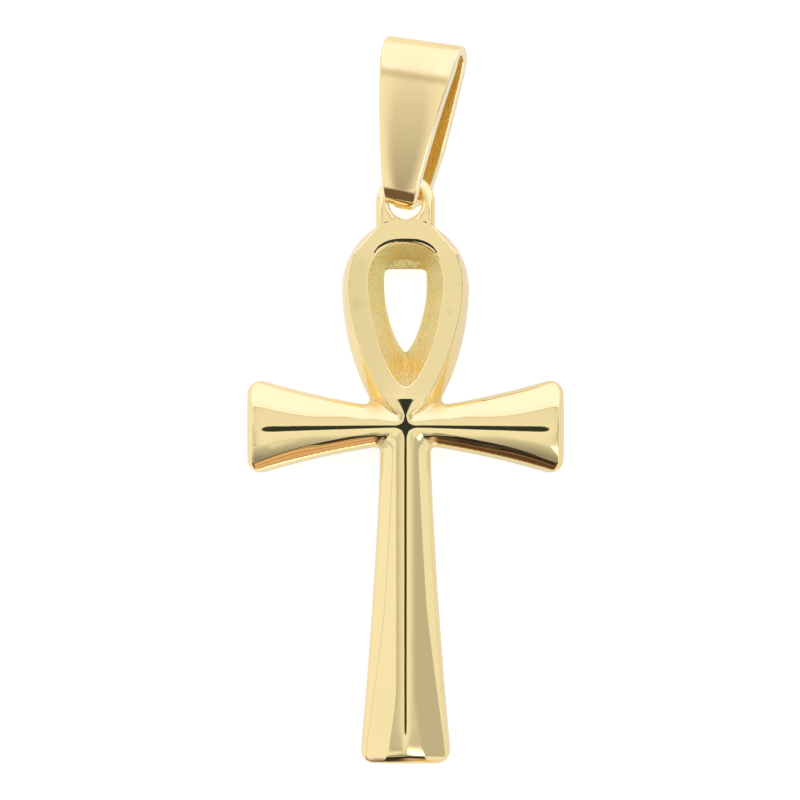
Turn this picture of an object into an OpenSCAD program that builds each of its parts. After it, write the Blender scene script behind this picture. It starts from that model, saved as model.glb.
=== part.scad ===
// Looped cross pendant: a cast cross with a teardrop loop and an eyelet,
// lying on its flat back, and a tapered folded bail through the eyelet.

/* [Cross] */
// Width across the two arms
arm_span = 22.2; // [20:0.1:26]
// Length from the crossing down to the foot of the shaft
shaft_len = 23.6; // [20:0.1:28]
// Height of the crest above the flat back
crest_h = 3.2; // [3.1:0.1:3.6]
// Half height of an arm at the crossing
arm_root = 1.16; // [1:0.02:1.4]
// Half width of the shaft at the crossing
shaft_root = 1.7; // [1.5:0.05:2]
// Radius of the corners at the ends of the arms and the shaft
corner_r = 1.0; // [0.8:0.05:1.2]
// Width of the narrow flat on the crest
crest_land = 0.16; // [0.1:0.02:0.3]

/* [Loop] */
// Width of the teardrop loop
loop_w = 8.9; // [8.4:0.1:9.4]
// Height of the loop's widest place above the crossing
loop_up = 9.7; // [9.4:0.1:10]
// Height of the ridge round the loop's face above the flat back
loop_h = 3.1; // [2.9:0.05:3.1]
// Width of the loop's opening at the front
window_w = 5.2; // [4.8:0.1:5.4]
// Width of the smaller opening at the back
port_w = 2.9; // [2.4:0.1:3.2]

/* [Eyelet] */
// Height of the eyelet's hole above the crossing
eye_up = 15.65; // [15.5:0.05:15.8]
// Outer radius of the eyelet
eye_r = 2.07; // [1.95:0.01:2.2]
// Radius of the eyelet's hole
eye_hole_r = 1.14; // [1.12:0.01:1.2]
// Thickness of the eyelet
eye_t = 0.9; // [0.8:0.05:0.9]
// Height of the eyelet's face above the flat back
eye_face = 2.68; // [2.64:0.01:2.72]

/* [Bail] */
// Length of the folded bail
bail_len = 11.9; // [11.5:0.1:12.3]
// Width of the bail at its top fold
bail_top_w = 5.65; // [5.2:0.05:6]
// Width of the bail at its bottom fold
bail_foot_w = 1.3; // [1.1:0.05:1.35]
// Width of the bail just above its bottom fold
bail_neck_w = 2.5; // [2.2:0.05:2.6]
// Thickness of the bail's band
bail_t = 0.7; // [0.6:0.05:0.75]
// Lean of the bail to the side
bail_lean = 7.2; // [5:0.2:9]
// Turn of the bail about its own length
bail_twist = 19; // [17:0.5:20]
// Rise of the bail towards its top
bail_rise = 4.2; // [3.8:0.1:5]

/* [Hidden] */
$fn = 64;

// Place of the crossing that centres the whole part, bail and all, on its
// length.
crossing_y = -1.9;
arm_len = arm_span / 2;
eps = 0.01;

// Half width of a limb is root + flare * d + bow * d * d at distance d.
ROOT = 0;
FLARE = 1;
BOW = 2;
ARM = [arm_root, 0.119, 0.0089];
SHAFT = [shaft_root, 0.0355, 0.00128];
function half_width(limb, d) = limb[ROOT] + limb[FLARE] * d + limb[BOW] * d * d;
function slope(limb, d) = limb[FLARE] + 2 * limb[BOW] * d;

// Side and roof of a limb, a row for each level from the back to the crest.
// Columns: inset from the outline, share of the width kept, shortening of
// the end, height as a share of the crest.
INSET = 0;
KEEP = 1;
HIP = 2;
RISE = 3;
LEVELS = [
    [0.10, 1.00, 0.00, -0.10],
    [0.03, 1.00, 0.00, 0.12],
    [0.00, 1.00, 0.00, 0.34],
    [0.10, 1.00, 0.00, 0.60],
    [0.36, 1.00, 0.00, 0.81],
    [0.36, 0.60, 0.30, 0.92],
    [0.36, 0.00, 0.75, 1.00],
];
arc_step = 15;
flank_steps = 6;
// The flank stops this many corner radii short of the end.
flank_short = 1.3;

// Distance of the corner's centre from the limb's own centre line.
function corner_side(limb, len) =
    half_width(limb, len) - slope(limb, len) * corner_r
    - corner_r * sqrt(1 + pow(slope(limb, len), 2));

// One side of a limb from its end to the crossing, moved in by inset.
function limb_side(limb, len, inset) = concat(
    [for (a = [90:-arc_step:0])
        [len - corner_r + (corner_r - inset) * sin(a),
         corner_side(limb, len) + (corner_r - inset) * cos(a)]],
    [for (k = [1:flank_steps])
        let (d = (len - corner_r * flank_short) * (1 - k / flank_steps))
        [d, half_width(limb, d) - inset]]
);

// The same side at one level, with the roof drawn in towards the crest.
function level_side(limb, len, level) =
    [for (p = limb_side(limb, len, level[INSET]))
        [p.x * (1 - level[HIP] / len),
         crest_land / 2 + (p.y - crest_land / 2) * level[KEEP],
         level[RISE] * crest_h]];

function mirrored_x(points) = [for (p = points) [-p.x, p.y, p.z]];
function mirrored_y(points) = [for (p = points) [p.x, -p.y, p.z]];
function reversed(points) = [for (i = [len(points) - 1:-1:0]) points[i]];

// Closes a side and its mirror image into a ring of points.
function closed(side) = concat(side, reversed(mirrored_y(side)));

// Solid through a stack of rings, each one a side and its mirror image.
module stacked(rings) {
    n = len(rings[0]);
    top = len(rings) - 1;
    walls = [for (j = [0:top - 1], i = [0:n - 1])
        let (a = j * n + i, b = j * n + (i + 1) % n)
        each [[a, b + n, b], [a, a + n, b + n]]];
    caps = [for (i = [0:n / 2 - 2])
        let (j = i + 1, p = n - 1 - i, q = n - 1 - j, t = top * n)
        each [[i, j, q], [i, q, p], [t + i, t + q, t + j], [t + i, t + p, t + q]]];
    polyhedron(points = [for (r = rings) each r], faces = concat(walls, caps));
}

// Both arms in one piece through the crossing.
module arms() {
    stacked([for (level = LEVELS)
        let (right = level_side(ARM, arm_len, level),
             left = [for (i = [0:len(right) - 2]) right[i]])
        closed(concat(right, reversed(mirrored_x(left))))]);
}

// The shaft, with a short nose that runs up into the foot of the loop.
nose_len = 2.2;
nose_w = 0.3;
module shaft() {
    nose = loop_h / crest_h;
    rotate(-90)
        stacked([for (level = LEVELS)
            closed(concat(level_side(SHAFT, shaft_len, level),
                [[-nose_len, nose_w / 2 + level[KEEP] * nose_w,
                  level[RISE] * crest_h * nose - eps]]))]);
}

// Outline of a teardrop: an ellipse above its widest place, whose top is
// squarer as square goes from 1 to 0, and a curve down to the tip below.
// Points run from the top to the tip, down one side.
drop_top_steps = 8;
drop_tip_steps = 11;
tip_power = 0.7;
function drop_side(half_w, up, down, fall, square) = concat(
    [for (i = [0:drop_top_steps])
        let (a = 90 * i / drop_top_steps)
        [half_w * pow(sin(a), square), up * pow(cos(a), square)]],
    [for (i = [1:drop_tip_steps])
        let (u = sin(90 * i / drop_tip_steps))
        [half_w * pow(1 - pow(u, fall), tip_power), -down * u]]
);

// Section of the loop, a row for each line that runs round it, from the
// back of the outside over the face to the back of the inside. Columns:
// half width, reach up and down from the widest place, how the side falls
// to the tip, squareness of the top, height.
HALF = 0;
UP = 1;
DOWN = 2;
FALL = 3;
SQUARE = 4;
HEIGHT = 5;
inner_half = window_w / 2;
ledge_half = inner_half * 0.72;
port_half = port_w / 2;
face_fall = 0.18;
ridge_in = 0.22;
under_floor = -0.25;
LOOP = [
    [loop_w / 2 - 0.10, 4.70, 10.4, 1.9, 1.0, under_floor],
    [loop_w / 2, 4.80, 10.5, 1.9, 1.0, 1.10],
    [loop_w / 2 - 0.08, 4.74, 10.3, 1.8, 1.0, 2.10],
    [loop_w / 2 - 0.36, 4.55, 9.2, 1.6, 1.0, loop_h - face_fall],
    [inner_half + ridge_in, 3.25, 7.3, 1.6, 1.0, loop_h],
    [inner_half, 3.00, 6.9, 1.6, 1.0, loop_h - face_fall / 2],
    [ledge_half, 2.20, 5.9, 1.6, 0.8, 1.15],
    [port_half, 1.35, 4.5, 1.6, 0.45, 0.55],
    [port_half, 1.33, 4.48, 1.6, 0.45, under_floor],
];

module teardrop_loop() {
    lines = [for (row = LOOP)
        let (drop = drop_side(row[HALF], row[UP], row[DOWN], row[FALL], row[SQUARE]),
             side = [for (p = drop) [p.x, p.y, row[HEIGHT]]],
             back = [for (i = [1:len(side) - 2]) side[i]])
        concat(side, reversed(mirrored_x(back)))];
    n = len(lines[0]);
    m = len(lines);
    faces = [for (j = [0:m - 1], i = [0:n - 1])
        let (k = (j + 1) % m, i2 = (i + 1) % n,
             a = j * n + i, b = j * n + i2, c = k * n + i, d = k * n + i2)
        each [[a, b, d], [a, d, c]]];
    translate([0, loop_up, 0])
        polyhedron(points = [for (l = lines) each l], faces = faces);
}

// The eyelet: a round plate with a bevelled front and a neck to the loop.
eye_bevel_w = 0.36;
eye_bevel_h = 0.3;
eye_neck = 1.9;
eye_chamfer = 0.2;
module eyelet() {
    back = eye_face - eye_t;
    back_z = back + eye_bevel_h;
    bevel_z = eye_face - eye_bevel_h;
    // The chamfer's cones run past the faces by their own depth.
    cone_h = 2 * eye_chamfer;
    cone_r = eye_hole_r + cone_h;
    translate([0, eye_up, 0])
        difference() {
            union() {
                translate([0, 0, back])
                    cylinder(r1 = eye_r - eye_bevel_w, r2 = eye_r, h = eye_bevel_h);
                translate([0, 0, back_z])
                    cylinder(r = eye_r, h = bevel_z - back_z);
                translate([0, 0, bevel_z])
                    cylinder(r1 = eye_r, r2 = eye_r - eye_bevel_w, h = eye_bevel_h);
                rotate([90, 0, 0])
                    linear_extrude(eye_neck)
                        polygon([
                            [eye_bevel_w - eye_r, back],
                            [eye_r - eye_bevel_w, back],
                            [eye_r, back_z],
                            [eye_r, bevel_z],
                            [eye_r - eye_bevel_w, eye_face],
                            [eye_bevel_w - eye_r, eye_face],
                            [-eye_r, bevel_z],
                            [-eye_r, back_z],
                        ]);
            }
            cylinder(r = eye_hole_r, h = crest_h);
            translate([0, 0, eye_face - eye_chamfer])
                cylinder(r1 = eye_hole_r, r2 = cone_r, h = cone_h);
            translate([0, 0, back - eye_chamfer])
                cylinder(r1 = cone_r, r2 = eye_hole_r, h = cone_h);
        }
}

// The cross is one casting, filed flat across its back.
floor_cut = 60;
module cross() {
    color("#ecd9a0")
        translate([0, crossing_y, 0])
            difference() {
                union() {
                    arms();
                    shaft();
                    teardrop_loop();
                    eyelet();
                }
                translate([-floor_cut / 2, -floor_cut / 2, -floor_cut])
                    cube(floor_cut);
            }
}

// The bail seen from its side is a belt round three circles. Columns:
// place along the length, outer radius.
PLACE = 0;
RADIUS = 1;
BELT = [
    [1.76, 1.76],
    [4.4, 2.0],
    [bail_len - 1.3, 1.3],
];

// A circle and the straight sides that run from it to the next circle.
module belt_stretch(a, b, inset) {
    ra = a[RADIUS] - inset;
    rb = b[RADIUS] - inset;
    lift = (ra - rb) / (b[PLACE] - a[PLACE]);
    side = sqrt(1 - lift * lift);
    translate([a[PLACE], 0])
        circle(r = ra);
    polygon([
        [a[PLACE] + ra * lift, ra * side],
        [a[PLACE] + ra * lift, -ra * side],
        [b[PLACE] + rb * lift, -rb * side],
        [b[PLACE] + rb * lift, rb * side],
    ]);
}

module belt(inset) {
    belt_stretch(BELT[0], BELT[1], inset);
    belt_stretch(BELT[1], BELT[2], inset);
    translate([BELT[2][PLACE], 0])
        circle(r = BELT[2][RADIUS] - inset);
}

// The bail along +Y from its bottom fold, its front towards +Z. The fold
// stays narrow to pass the eyelet's hole, then the bail widens evenly.
bail_foot_up = 0.75;
bail_neck_up = 2.0;
// Deeper than the belt, so that the taper cuts all of it.
taper_depth = 6;
module straight_bail() {
    intersection() {
        translate([-bail_top_w, 0, 0])
            rotate([90, 0, 90])
                linear_extrude(2 * bail_top_w)
                    difference() {
                        belt(0);
                        belt(bail_t);
                    }
        translate([0, 0, -taper_depth / 2])
            linear_extrude(taper_depth)
                polygon([
                    [-bail_foot_w / 2, -eps],
                    [bail_foot_w / 2, -eps],
                    [bail_foot_w / 2, bail_foot_up],
                    [bail_neck_w / 2, bail_neck_up],
                    [bail_top_w / 2, bail_len],
                    [-bail_top_w / 2, bail_len],
                    [-bail_neck_w / 2, bail_neck_up],
                    [-bail_foot_w / 2, bail_foot_up],
                ]);
    }
}

// Where the bottom fold passes through the eyelet's hole.
bail_drop = 0.45;
bail_foot_z = 2.18;
module bail() {
    color("#d8c48c")
        translate([0, crossing_y + eye_up, bail_foot_z])
            rotate([0, 0, -bail_lean])
                rotate([bail_rise, 0, 0])
                    translate([0, -bail_drop, 0])
                        rotate([0, -bail_twist, 0])
                            straight_bail();
}

cross();
bail();
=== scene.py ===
"""Dresses a looped cross pendant: its polished casting, its folded bail and the white table it lies on."""
import logging
import math
from dataclasses import dataclass, field, replace
from enum import Enum, IntEnum
from functools import partial

import bmesh
import bpy
import numpy as np
from mathutils import Matrix, Vector
from mathutils.geometry import delaunay_2d_cdt
from mathutils.kdtree import KDTree


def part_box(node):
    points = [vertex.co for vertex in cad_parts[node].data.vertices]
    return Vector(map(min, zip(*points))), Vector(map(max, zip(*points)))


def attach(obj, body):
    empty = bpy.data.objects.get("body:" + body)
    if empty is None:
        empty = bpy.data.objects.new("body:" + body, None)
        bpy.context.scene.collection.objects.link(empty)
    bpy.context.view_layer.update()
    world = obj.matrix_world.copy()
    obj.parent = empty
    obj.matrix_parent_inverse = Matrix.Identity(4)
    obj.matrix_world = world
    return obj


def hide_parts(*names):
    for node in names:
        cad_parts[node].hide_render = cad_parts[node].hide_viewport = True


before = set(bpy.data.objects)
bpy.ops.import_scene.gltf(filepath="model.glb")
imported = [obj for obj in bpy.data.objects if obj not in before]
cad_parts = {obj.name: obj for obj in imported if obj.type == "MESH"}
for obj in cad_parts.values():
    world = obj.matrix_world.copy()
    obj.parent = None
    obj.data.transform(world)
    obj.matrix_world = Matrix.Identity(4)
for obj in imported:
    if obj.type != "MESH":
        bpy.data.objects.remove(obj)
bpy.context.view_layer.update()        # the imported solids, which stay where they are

log = logging.getLogger("pendant")

MM = 0.001
PHOTO_FIELD = 56.0           # width of the photograph's view, in mm at the pendant
PHOTO_AIM = (-0.385, -0.04)  # what the photograph's centre looks at, in mm
OUTSIDE_FALL = 6.0           # how steeply a form's height keeps falling outside its outline
RING_STEPS = 110             # stretches on each side of the rings round the loop's opening
ARC_STEPS = 24               # points on a rounded corner
FINE_STEPS = 500             # stretches of a curve before its points are spaced evenly
WHITE = (1.0, 1.0, 1.0, 1.0)
MATHS = "ShaderNodeMath"     # the node types that are used most
RANGE = "ShaderNodeMapRange"
MIX = "ShaderNodeMix"
PLACE = "ShaderNodeTexCoord"
PARTS = "ShaderNodeSeparateXYZ"
NOISE = "ShaderNodeTexNoise"
FINISH = "GeometryNodeSetMaterial"
SOFT = {"interpolation_type": "SMOOTHSTEP"}


class Slot(Enum):
    """The record's finishes, listed beside each piece but not applied here."""

    CASTING = "polished_casting"
    BAND = "polished_band"


class Finish(IntEnum):
    """Place of a finish among a mesh's materials."""

    POLISHED = 0
    CAST = 1


def srgb(hex_code: str) -> tuple[float, float, float, float]:
    """Turns a colour written as sRGB hex into the linear colour that shaders take.

    Args:
        hex_code: Six hex digits after a hash sign.

    Returns:
        Red, green, blue and an alpha of one.
    """
    parts = [int(hex_code[i:i + 2], 16) / 255 for i in (1, 3, 5)]
    linear = [c / 12.92 if c <= 0.04045 else ((c + 0.055) / 1.055) ** 2.4 for c in parts]
    return (*linear, 1.0)


def add_node(tree: bpy.types.NodeTree, kind: str, links: dict | tuple | list = (),
             **settings: object) -> bpy.types.Node:
    """Adds a node with its settings and what feeds its inputs.

    Args:
        tree: Node tree that gets the node.
        kind: Blender's name for the node's type.
        links: What feeds its inputs, by name or index, or in order from the first. Each is a plain value,
            an output, or a node whose first output is meant.
        settings: Properties of the node itself.

    Returns:
        The new node.
    """
    node = tree.nodes.new(kind)
    for name, value in settings.items():
        setattr(node, name, value)
    for key, value in (links if isinstance(links, dict) else dict(enumerate(links))).items():
        if isinstance(value, bpy.types.Node):
            value = value.outputs[0]
        if isinstance(value, bpy.types.NodeSocket):
            tree.links.new(value, node.inputs[key])
        else:
            node.inputs[key].default_value = value
    return node


def new_object(name: str, data: bpy.types.ID) -> bpy.types.Object:
    """Adds an object to the scene.

    Args:
        name: Its name.
        data: Its mesh, curve or camera.

    Returns:
        The object.
    """
    made = bpy.data.objects.new(name, data)
    bpy.context.scene.collection.objects.link(made)
    return made


def hinge(x: np.ndarray, reach: float) -> np.ndarray:
    """The larger of x and zero, with the corner rounded over reach to each side."""
    return np.where(np.abs(x) < reach, (x + reach) ** 2 / (4 * reach), np.maximum(x, 0.0))


def smooth_min(a: np.ndarray, b: np.ndarray, reach: np.ndarray | float) -> np.ndarray:
    """The lower of a and b, blended where they differ by less than reach."""
    near = np.maximum(reach - np.abs(a - b), 0.0) / reach
    return np.minimum(a, b) - near ** 2 * reach / 4


def smooth_max(a: np.ndarray, b: np.ndarray, reach: float) -> np.ndarray:
    """The higher of a and b, blended where they differ by less than reach."""
    return -smooth_min(-a, -b, reach)


def lesser(a: np.ndarray, b: np.ndarray) -> np.ndarray:
    """The lower of two falls, rounded where they are alike and zero wherever one is zero."""
    a, b = np.maximum(a, 1e-9), np.maximum(b, 1e-9)
    return (a ** -5 + b ** -5) ** -0.2


def smooth_step(x: np.ndarray) -> np.ndarray:
    """Zero below zero, one above one, and an even curve between."""
    t = np.clip(x, 0.0, 1.0)
    return t * t * (3 - 2 * t)


def blunt(x: np.ndarray, reach: np.ndarray | float) -> np.ndarray:
    """The distance from zero with its sharp corner rounded over about reach."""
    return np.sqrt(x * x + reach * reach) - reach


def bow(share: np.ndarray, bevel: np.ndarray | float, power: float = 2.0) -> np.ndarray:
    """Fall of a rounded side from its crease, zero, to where it stands upright, one.

    Args:
        share: Way from the crease to the outline, from zero to one.
        bevel: Part of the fall that a straight bevel takes.
        power: How flat the round stays at first, two for a quarter ellipse.

    Returns:
        The part of the whole fall that is reached there.
    """
    t = np.clip(share, 0.0, 1.0)
    return bevel * t + (1 - bevel) * (1 - (1 - t ** power) ** (1 / power))


def crossing(a: np.ndarray, b: np.ndarray) -> tuple[int, float, int, float]:
    """Finds where two open lines cross.

    Args:
        a: Points of the first line.
        b: Points of the second line.

    Returns:
        The stretch and the share of it in the first line, then in the second.
    """
    da, db = np.diff(a, axis=0)[:, None], np.diff(b, axis=0)[None]
    gap = b[None, :-1] - a[:-1, None]
    det = da[..., 0] * db[..., 1] - da[..., 1] * db[..., 0]
    det = np.where(np.abs(det) < 1e-12, 1e-12, det)
    s = (gap[..., 0] * db[..., 1] - gap[..., 1] * db[..., 0]) / det
    t = (gap[..., 0] * da[..., 1] - gap[..., 1] * da[..., 0]) / det
    i, j = np.argwhere((s >= 0) & (s <= 1) & (t >= 0) & (t <= 1))[0]
    return int(i), float(s[i, j]), int(j), float(t[i, j])


def run_along(line: np.ndarray) -> np.ndarray:
    """Length of a line up to each of its points."""
    return np.concatenate([[0.0], np.cumsum(np.linalg.norm(np.diff(line, axis=0), axis=1))])


def evenly(line: np.ndarray, steps: int) -> np.ndarray:
    """Spaces points evenly along a line.

    Args:
        line: Points in plan, one in each row.
        steps: Equal stretches that the line is divided into.

    Returns:
        The ends of the stretches.
    """
    run = run_along(line)
    at = np.linspace(0, run[-1], steps + 1)
    return np.stack([np.interp(at, run, line[:, k]) for k in (0, 1)], axis=1)


def grid_of(xs: np.ndarray, ys: np.ndarray) -> np.ndarray:
    """Points in plan at all crossings of columns and rows."""
    return np.stack(np.meshgrid(xs, ys), axis=-1).reshape(-1, 2)


def lifted(plan: np.ndarray, height: np.ndarray | float) -> np.ndarray:
    """Points in plan, set at one height or each at its own."""
    return np.column_stack([plan, np.broadcast_to(height, len(plan))])


def nearby(points: np.ndarray) -> KDTree:
    """Sorts points in plan so that the nearest one can be found.

    Args:
        points: One in each row.

    Returns:
        The sorted tree, which gives a point's row.
    """
    tree = KDTree(len(points))
    for i, (x, y) in enumerate(points):
        tree.insert((x, y, 0.0), i)
    tree.balance()
    return tree


def moved_left(line: np.ndarray, distance: float) -> np.ndarray:
    """Moves a line to its left.

    Args:
        line: Points in plan, one in each row.
        distance: How far each point moves.

    Returns:
        The moved points.
    """
    along = np.gradient(line, axis=0)
    along /= np.linalg.norm(along, axis=1)[:, None]
    return line + distance * np.stack([-along[:, 1], along[:, 0]], axis=1)


def rounded_joint(a: np.ndarray, b: np.ndarray, radius: float) -> np.ndarray:
    """Joins two lines with an arc where they meet.

    Args:
        a: Points that lead to the corner, with the area on their left.
        b: Points that lead away from it.
        radius: Radius of the arc, positive at an outer corner and negative at an inner one.

    Returns:
        The joined line.
    """
    beside_a, beside_b = moved_left(a, radius), moved_left(b, radius)
    i, s, j, t = crossing(beside_a, beside_b)
    start = a[i] + s * (a[i + 1] - a[i])
    end = b[j] + t * (b[j + 1] - b[j])
    centre = beside_a[i] + s * (beside_a[i + 1] - beside_a[i])
    first = math.atan2(*(start - centre)[::-1])
    turn = (math.atan2(*(end - centre)[::-1]) - first + math.pi) % (2 * math.pi) - math.pi
    angles = first + turn * np.linspace(0, 1, ARC_STEPS)
    arc = centre + abs(radius) * np.stack([np.cos(angles), np.sin(angles)], axis=1)
    return np.concatenate([a[:i + 1], arc, b[j + 1:]])


@dataclass(frozen=True)
class Outline:
    """A closed line in plan, its points in millimetres and counter-clockwise."""

    points: np.ndarray

    @classmethod
    def from_right_half(cls, half: np.ndarray, spacing: float) -> "Outline":
        """Mirrors the right half and spaces the points of the whole evenly.

        Args:
            half: Points from the bottom to the top, on the right of the middle.
            spacing: Distance between neighbours.

        Returns:
            The closed line, counter-clockwise from the bottom.
        """
        left = half[::-1] * (-1, 1)
        line = np.concatenate([half, left[1:]])
        return cls(evenly(line, 2 * round(run_along(line)[-1] / spacing / 2))[:-1])

    def outward(self) -> np.ndarray:
        """Finds which way is out.

        Returns:
            A unit vector for each point, square to the line and away from the area.
        """
        along = np.roll(self.points, -1, axis=0) - np.roll(self.points, 1, axis=0)
        along /= np.linalg.norm(along, axis=1)[:, None]
        return np.stack([along[:, 1], -along[:, 0]], axis=1)

    def inset(self, distance: float) -> np.ndarray:
        """The points moved into the area by a distance."""
        return self.points - distance * self.outward()

    def depth(self, places: np.ndarray) -> np.ndarray:
        """Measures how far places lie inside the line.

        Args:
            places: Points in plan, one in each row.

        Returns:
            Distance to the line in mm, negative outside it.
        """
        tree = nearby(self.points)
        near = np.array([tree.find((x, y, 0.0))[1] for x, y in places])
        best = np.full(len(places), np.inf)
        for step in (-1, 0):
            a = self.points[(near + step) % len(self.points)]
            b = self.points[(near + step + 1) % len(self.points)]
            ab = b - a
            t = np.clip(((places - a) * ab).sum(1) / (ab * ab).sum(1), 0, 1)
            best = np.minimum(best, np.linalg.norm(places - a - t[:, None] * ab, axis=1))
        out = ((places - self.points[near]) * self.outward()[near]).sum(1)
        return np.where(out > 0, -best, best)


@dataclass(frozen=True)
class Drop:
    """A teardrop in plan, sizes in mm from its widest place."""

    half: float             # half of the greatest width
    up: float               # reach of the round top
    down: float             # reach of the tip
    fall: float = 1.6       # the higher, the later the sides draw in towards the tip
    square: float = 1.0     # one makes the top an ellipse, less makes it boxy
    tip_power: float = 0.7  # one makes the tip straight-sided, less makes it blunt

    def right_side(self, top_steps: int, tip_steps: int) -> np.ndarray:
        """Points of the right side from the tip to the top.

        Args:
            top_steps: Stretches above the widest place.
            tip_steps: Stretches below it.

        Returns:
            One point in each row.
        """
        u = np.sin(np.linspace(math.pi / 2, 0, tip_steps + 1))
        below = np.stack([self.half * (1 - u ** self.fall) ** self.tip_power, -self.down * u], axis=1)
        a = np.linspace(math.pi / 2, 0, top_steps + 1)[1:]
        rise = np.abs(np.cos(a)) ** self.square
        above = np.stack([self.half * np.sin(a) ** self.square, self.up * rise], axis=1)
        return np.concatenate([below, above])

    def ring(self, steps: int) -> np.ndarray:
        """Points all round, counter-clockwise from the tip and evenly spaced.

        Args:
            steps: Stretches on each side.

        Returns:
            One point in each row.
        """
        half = evenly(self.right_side(FINE_STEPS, FINE_STEPS), steps)
        return np.concatenate([half, half[-2:0:-1] * (-1, 1)])


@dataclass(frozen=True)
class Limb:
    """A flared limb: its plan and the run of its top, sizes in mm."""

    length: float                 # from the crossing to the end
    root: float                   # half width at the crossing
    flare: float                  # how fast the half width grows there
    bow: float                    # how fast that growth itself grows
    roof: float                   # half width of the gently sloped roof beside the crest
    roof_more: float              # what the roof gains by the end
    roof_from: float              # where it starts to gain
    end_run: float                # stretch before the end in which the top dips
    end_tilt: float               # slope that the dip comes to
    end_reach: float              # width of the rounding at the end
    shoulder: float               # distance from the side at which the shoulder starts
    shoulder_more: float          # change of that distance for each mm outwards
    shoulder_at: float            # where it starts to change
    shoulder_least: float = 0.42  # the least that it comes to
    steeper: float = 0.0          # what the shoulder's first slope gains outwards
    steeper_from: float = 5.0     # where that starts
    steeper_run: float = 2.5      # how long it takes
    end_bevel: float = 0.0        # share of the end's rounding that is a straight bevel
    end_blend: float = 0.9        # width over which side and end share a corner
    nose: float = 0.6             # width of the band across the end that is cut down
    nose_jump: float = 0.0        # slope of that band at its crease
    nose_tilt: float = 0.0        # what its slope gains by the end
    nose_ease: float = 0.45       # share of the cut that is missing at the corners
    corner: float = 1.0           # radius of the corners in plan
    bulge: float = 0.06           # how far the end bows out in plan

    def half_width(self, d: np.ndarray) -> np.ndarray:
        """Half width at distance d from the crossing."""
        return self.root + self.flare * d + self.bow * d * d

    def stretch(self, d: np.ndarray) -> np.ndarray:
        """Length of the slanted side for each mm along the limb."""
        tilt = self.flare + 2 * self.bow * d
        return np.sqrt(1 + tilt * tilt)

    def end_wide(self) -> float:
        """Half of the width that the end's bow is measured over."""
        return 1.1 * self.half_width(self.length)

    def end_at(self, across: np.ndarray) -> np.ndarray:
        """Distance of the end from the crossing at a place across."""
        return self.length - self.bulge * (across / self.end_wide()) ** 2

    def side(self, steps: int = 240) -> np.ndarray:
        """Distance and half width from the crossing to past the end."""
        d = np.linspace(0, self.length * 1.02, steps)
        return np.stack([d, self.half_width(d)], axis=1)

    def end(self, steps: int = 80) -> np.ndarray:
        """Distance and place across along the end, from one side to the other."""
        across = np.linspace(-self.end_wide(), self.end_wide(), steps)
        return np.stack([self.end_at(across), across], axis=1)

    def roof_half(self, d: np.ndarray) -> np.ndarray:
        """Half width of the gently sloped roof beside the crest."""
        open_share = np.clip((d - self.roof_from) / (self.length - self.roof_from), 0, 1)
        return self.roof + self.roof_more * open_share ** 1.6

    def shoulder_start(self, d: np.ndarray) -> np.ndarray:
        """Distance from the side at which the flank turns into the shoulder."""
        change = self.shoulder_more * hinge(d - self.shoulder_at, 1.0)
        return np.maximum(self.shoulder + change, self.shoulder_least)

    def shoulder_across(self, d: np.ndarray, more: float = 0.0) -> np.ndarray:
        """Place across of the shoulder's crease, moved inwards by more."""
        return self.half_width(d) - (self.shoulder_start(d) + more) * self.stretch(d)

    def shoulder_line(self, more: float) -> np.ndarray:
        """Distance along and place across of the shoulder's crease, moved inwards by more."""
        d = np.arange(1.6, self.length - 0.4, 0.05)
        return np.stack([d, self.shoulder_across(d, more)], axis=1)

    def depths(self, d: np.ndarray, across: np.ndarray) -> tuple[np.ndarray, np.ndarray, np.ndarray]:
        """Measures how far inside the limb places lie.

        Args:
            d: Distance from the crossing along the limb.
            across: Distance from the limb's middle.

        Returns:
            Distance from the side, from the end, and from the rounded outline of both.
        """
        along = np.maximum(d, 0)
        side = (self.half_width(along) - across) / self.stretch(along)
        end = self.end_at(across) - d
        p, q = self.corner - side, self.corner - end
        outer = np.hypot(np.maximum(p, 0), np.maximum(q, 0)) + np.minimum(np.maximum(p, q), 0)
        return side, end, self.corner - outer


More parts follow.
